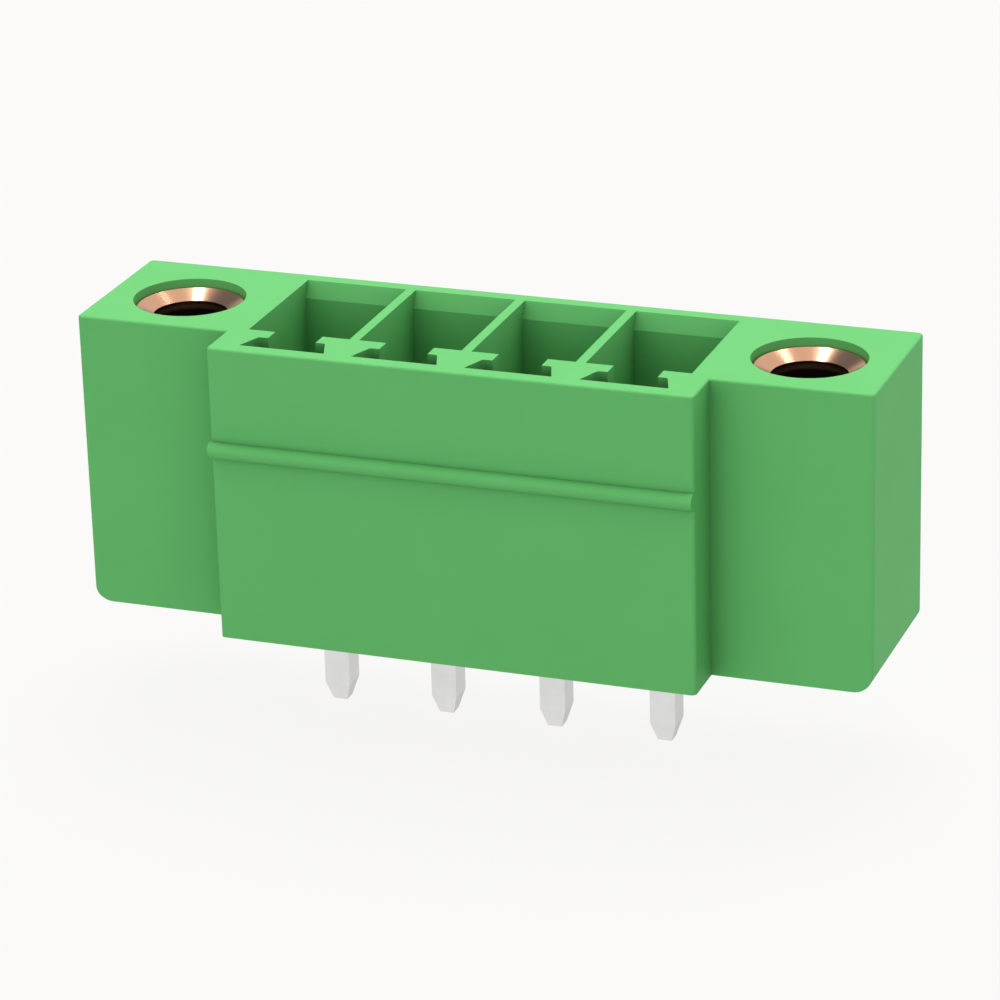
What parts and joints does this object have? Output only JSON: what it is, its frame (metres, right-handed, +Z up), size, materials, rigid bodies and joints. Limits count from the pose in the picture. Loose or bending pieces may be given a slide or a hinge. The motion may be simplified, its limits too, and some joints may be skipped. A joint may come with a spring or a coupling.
{
  "type": "pluggable terminal block socket",
  "caption": "Upright board socket with open keyed cells, square contact pins and a threaded metal bush in a flange at each end.",
  "frame": {"origin": "on the board plane (the housing's underside), at the middle of the pin row", "axes": "+X along the pin row, +Y towards the plain back wall, +Z up out of the board, the way the plug leaves"},
  "size_m": [0.0246, 0.0072, 0.0126],
  "materials": {
    "housing_plastic": "moulded polyamide, satin green",
    "pin_tin": "tin plated, satin",
    "insert_brass": "turned copper alloy, bright"
  },
  "bodies": {
    "root": {"housing": "housing_plastic", "pin_1": "pin_tin", "pin_2": "pin_tin", "pin_3": "pin_tin", "pin_4": "pin_tin", "threaded_insert_left": "insert_brass", "threaded_insert_right": "insert_brass"}
  },
  "joints": []
}
